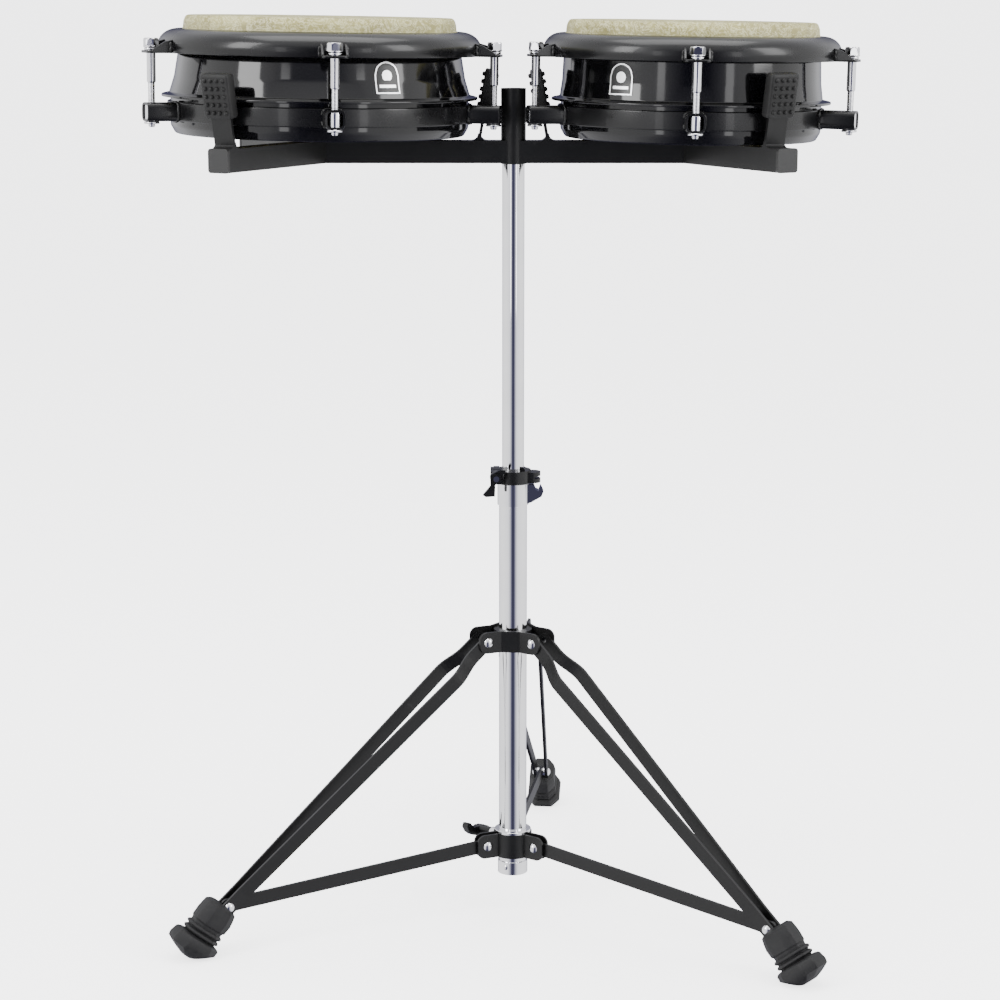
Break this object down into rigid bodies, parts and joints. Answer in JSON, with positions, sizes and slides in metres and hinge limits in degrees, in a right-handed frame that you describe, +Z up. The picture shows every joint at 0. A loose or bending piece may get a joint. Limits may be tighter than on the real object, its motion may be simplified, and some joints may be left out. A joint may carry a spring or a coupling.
{
  "type": "hand drum pair on tripod stand",
  "caption": "Pair of shallow single-headed hand drums with curved hoops, clipped into a padded cradle on a height-adjustable, double-braced folding tripod stand.",
  "frame": {"origin": "middle of the whole object's box, on the floor", "axes": "+Z up, -Y towards the player, the large drum at -X and the small drum at +X; the mast stands at x 11 mm, y -71 mm"},
  "size_m": [0.6944, 0.6096, 0.9244],
  "materials": {
    "gloss_black_shell": "high-gloss black gel coat",
    "drum_skin": "mottled cream synthetic skin",
    "satin_black_steel": "semi-gloss black powder coat",
    "chrome_hardware": "polished chrome",
    "chrome_tube": "polished chrome tube",
    "badge_metal": "satin printed aluminium, plain",
    "boot_rubber": "moulded black rubber",
    "pad_rubber": "soft black rubber with round bumps",
    "black_plastic": "satin black plastic",
    "black_cast_metal": "black coated casting",
    "black_stand_steel": "satin black powder coat"
  },
  "bodies": {
    "stand": {"lower_tube": "chrome_tube", "tube_guide": "black_plastic", "height_casting": "chrome_tube", "upper_spider_hub": "black_stand_steel", "upper_spider_plates": "black_stand_steel", "upper_spider_rivets": "chrome_hardware", "end_cap": "chrome_tube", "end_cap_screw": "chrome_hardware"},
    "mast": {"upper_tube": "chrome_tube"},
    "cradle": {"cradle_sleeve": "black_stand_steel", "cradle_bar": "black_stand_steel", "large_arms": "black_stand_steel", "small_arms": "black_stand_steel", "arm_end_caps": "black_plastic", "large_clips": "black_stand_steel", "small_clips": "black_stand_steel", "large_pads": "pad_rubber", "small_pads": "pad_rubber"},
    "lock": {"memory_lock": "black_cast_metal", "lock_bolt": "chrome_hardware"},
    "lock_nut": {"lock_wing_nut": "black_cast_metal"},
    "collar": {"leg_collar": "chrome_tube", "collar_plates": "black_stand_steel", "collar_rivets": "chrome_hardware"},
    "collar_bolt": {"collar_wing_bolt": "black_cast_metal"},
    "back_stay": {"stay_back": "black_stand_steel"},
    "back_leg": {"leg_back": "black_stand_steel", "boot_back": "boot_rubber", "foot_rivets_back": "chrome_hardware"},
    "left_stay": {"stay_left": "black_stand_steel"},
    "left_leg": {"leg_left": "black_stand_steel", "boot_left": "boot_rubber", "foot_rivets_left": "chrome_hardware"},
    "right_stay": {"stay_right": "black_stand_steel"},
    "right_leg": {"leg_right": "black_stand_steel", "boot_right": "boot_rubber", "foot_rivets_right": "chrome_hardware"},
    "large_drum": {"large_shell": "gloss_black_shell", "large_head": "drum_skin", "large_hoop": "satin_black_steel", "large_lug_ring": "satin_black_steel", "large_lug_nuts": "chrome_hardware", "large_badge": "badge_metal"},
    "large_rod_front_body": {"large_rod_front": "chrome_hardware"},
    "large_rod_inner_body": {"large_rod_inner": "chrome_hardware"},
    "large_rod_outer_body": {"large_rod_outer": "chrome_hardware"},
    "large_rod_back_inner_body": {"large_rod_back_inner": "chrome_hardware"},
    "large_rod_back_outer_body": {"large_rod_back_outer": "chrome_hardware"},
    "small_drum": {"small_shell": "gloss_black_shell", "small_head": "drum_skin", "small_hoop": "satin_black_steel", "small_lug_ring": "satin_black_steel", "small_lug_nuts": "chrome_hardware", "small_badge": "badge_metal"},
    "small_rod_front_body": {"small_rod_front": "chrome_hardware"},
    "small_rod_inner_body": {"small_rod_inner": "chrome_hardware"},
    "small_rod_outer_body": {"small_rod_outer": "chrome_hardware"},
    "small_rod_back_inner_body": {"small_rod_back_inner": "chrome_hardware"},
    "small_rod_back_outer_body": {"small_rod_back_outer": "chrome_hardware"}
  },
  "joints": [
    {"name": "mast_height", "type": "slide", "parent": "stand", "child": "mast", "axis": [0, 0, 1], "range_m": [-0.22, 0.05]},
    {"name": "cradle_swivel", "type": "hinge", "parent": "mast", "child": "cradle", "pos_m": [0.0106, -0.0708, 0.8], "axis": [0, 0, 1], "continuous": true},
    {"name": "lock_slide", "type": "slide", "parent": "stand", "child": "lock", "axis": [0, 0, 1], "range_m": [0, 0.25]},
    {"name": "lock_nut_turn", "type": "hinge", "parent": "lock", "child": "lock_nut", "pos_m": [-0.0064, -0.0908, 0.465], "axis": [0, -1, 0], "continuous": true},
    {"name": "collar_slide", "type": "slide", "parent": "stand", "child": "collar", "axis": [0, 0, 1], "range_m": [0, 0.1335]},
    {"name": "collar_bolt_turn", "type": "hinge", "parent": "collar", "child": "collar_bolt", "pos_m": [-0.01352, -0.05296, 0.076], "axis": [-0.8039, 0.5948, 0], "continuous": true},
    {"name": "back_stay_fold", "type": "hinge", "parent": "collar", "child": "back_stay", "pos_m": [0.014, -0.04099, 0.072], "axis": [-0.9936, 0.1132, 0], "range_deg": [0, 84.79]},
    {"name": "back_leg_fold", "type": "hinge", "parent": "back_stay", "child": "back_leg", "pos_m": [0.04598, 0.23969, 0.0485], "axis": [-0.9936, 0.1132, 0], "range_deg": [-36.08, 0]},
    {"name": "left_stay_fold", "type": "hinge", "parent": "collar", "child": "left_stay", "pos_m": [-0.01691, -0.08276, 0.072], "axis": [0.3987, -0.9171, 0], "range_deg": [0, 84.79]},
    {"name": "left_leg_fold", "type": "hinge", "parent": "left_stay", "child": "left_leg", "pos_m": [-0.27598, -0.19541, 0.0485], "axis": [0.3987, -0.9171, 0], "range_deg": [-36.08, 0]},
    {"name": "right_stay_fold", "type": "hinge", "parent": "collar", "child": "right_stay", "pos_m": [0.03472, -0.08865, 0.072], "axis": [0.5948, 0.8039, 0], "range_deg": [0, 84.79]},
    {"name": "right_leg_fold", "type": "hinge", "parent": "right_stay", "child": "right_leg", "pos_m": [0.26181, -0.25668, 0.0485], "axis": [0.5948, 0.8039, 0], "range_deg": [-36.08, 0]},
    {"name": "large_drum_lift", "type": "slide", "parent": "cradle", "child": "large_drum", "axis": [0, 0, 1], "range_m": [0, 0.12]},
    {"name": "large_rod_front_turn", "type": "hinge", "parent": "large_drum", "child": "large_rod_front_body", "pos_m": [-0.1544, -0.24289, 0.85809], "axis": [0.0157, 0, 0.9999], "continuous": true},
    {"name": "large_rod_inner_turn", "type": "hinge", "parent": "large_drum", "child": "large_rod_inner_body", "pos_m": [-0.00852, -0.09952, 0.8558], "axis": [0.0157, 0, 0.9999], "continuous": true},
    {"name": "large_rod_outer_turn", "type": "hinge", "parent": "large_drum", "child": "large_rod_outer_body", "pos_m": [-0.33581, -0.14844, 0.86094], "axis": [0.0157, 0, 0.9999], "continuous": true},
    {"name": "large_rod_back_inner_turn", "type": "hinge", "parent": "large_drum", "child": "large_rod_back_inner_body", "pos_m": [-0.09978, 0.08354, 0.85723], "axis": [0.0157, 0, 0.9999], "continuous": true},
    {"name": "large_rod_back_outer_turn", "type": "hinge", "parent": "large_drum", "child": "large_rod_back_outer_body", "pos_m": [-0.30206, 0.05331, 0.86041], "axis": [0.0157, 0, 0.9999], "continuous": true},
    {"name": "small_drum_lift", "type": "slide", "parent": "cradle", "child": "small_drum", "axis": [0, 0, 1], "range_m": [0, 0.12]},
    {"name": "small_rod_front_turn", "type": "hinge", "parent": "small_drum", "child": "small_rod_front_body", "pos_m": [0.17891, -0.23065, 0.8543], "axis": [0.0157, 0, 0.9999], "continuous": true},
    {"name": "small_rod_inner_turn", "type": "hinge", "parent": "small_drum", "child": "small_rod_inner_body", "pos_m": [0.03172, -0.11356, 0.85662], "axis": [0.0157, 0, 0.9999], "continuous": true},
    {"name": "small_rod_outer_turn", "type": "hinge", "parent": "small_drum", "child": "small_rod_outer_body", "pos_m": [0.33573, -0.12683, 0.85184], "axis": [0.0157, 0, 0.9999], "continuous": true},
    {"name": "small_rod_back_inner_turn", "type": "hinge", "parent": "small_drum", "child": "small_rod_back_inner_body", "pos_m": [0.09759, 0.06262, 0.85558], "axis": [0.0157, 0, 0.9999], "continuous": true},
    {"name": "small_rod_back_outer_turn", "type": "hinge", "parent": "small_drum", "child": "small_rod_back_outer_body", "pos_m": [0.28547, 0.05442, 0.85263], "axis": [0.0157, 0, 0.9999], "continuous": true}
  ],
  "couplings": [
    {"joint": "back_stay_fold", "follows": "collar_slide", "rad_per_m": 11.065},
    {"joint": "back_leg_fold", "follows": "collar_slide", "rad_per_m": -4.6977},
    {"joint": "left_stay_fold", "follows": "collar_slide", "rad_per_m": 11.065},
    {"joint": "left_leg_fold", "follows": "collar_slide", "rad_per_m": -4.6977},
    {"joint": "right_stay_fold", "follows": "collar_slide", "rad_per_m": 11.065},
    {"joint": "right_leg_fold", "follows": "collar_slide", "rad_per_m": -4.6977}
  ]
}
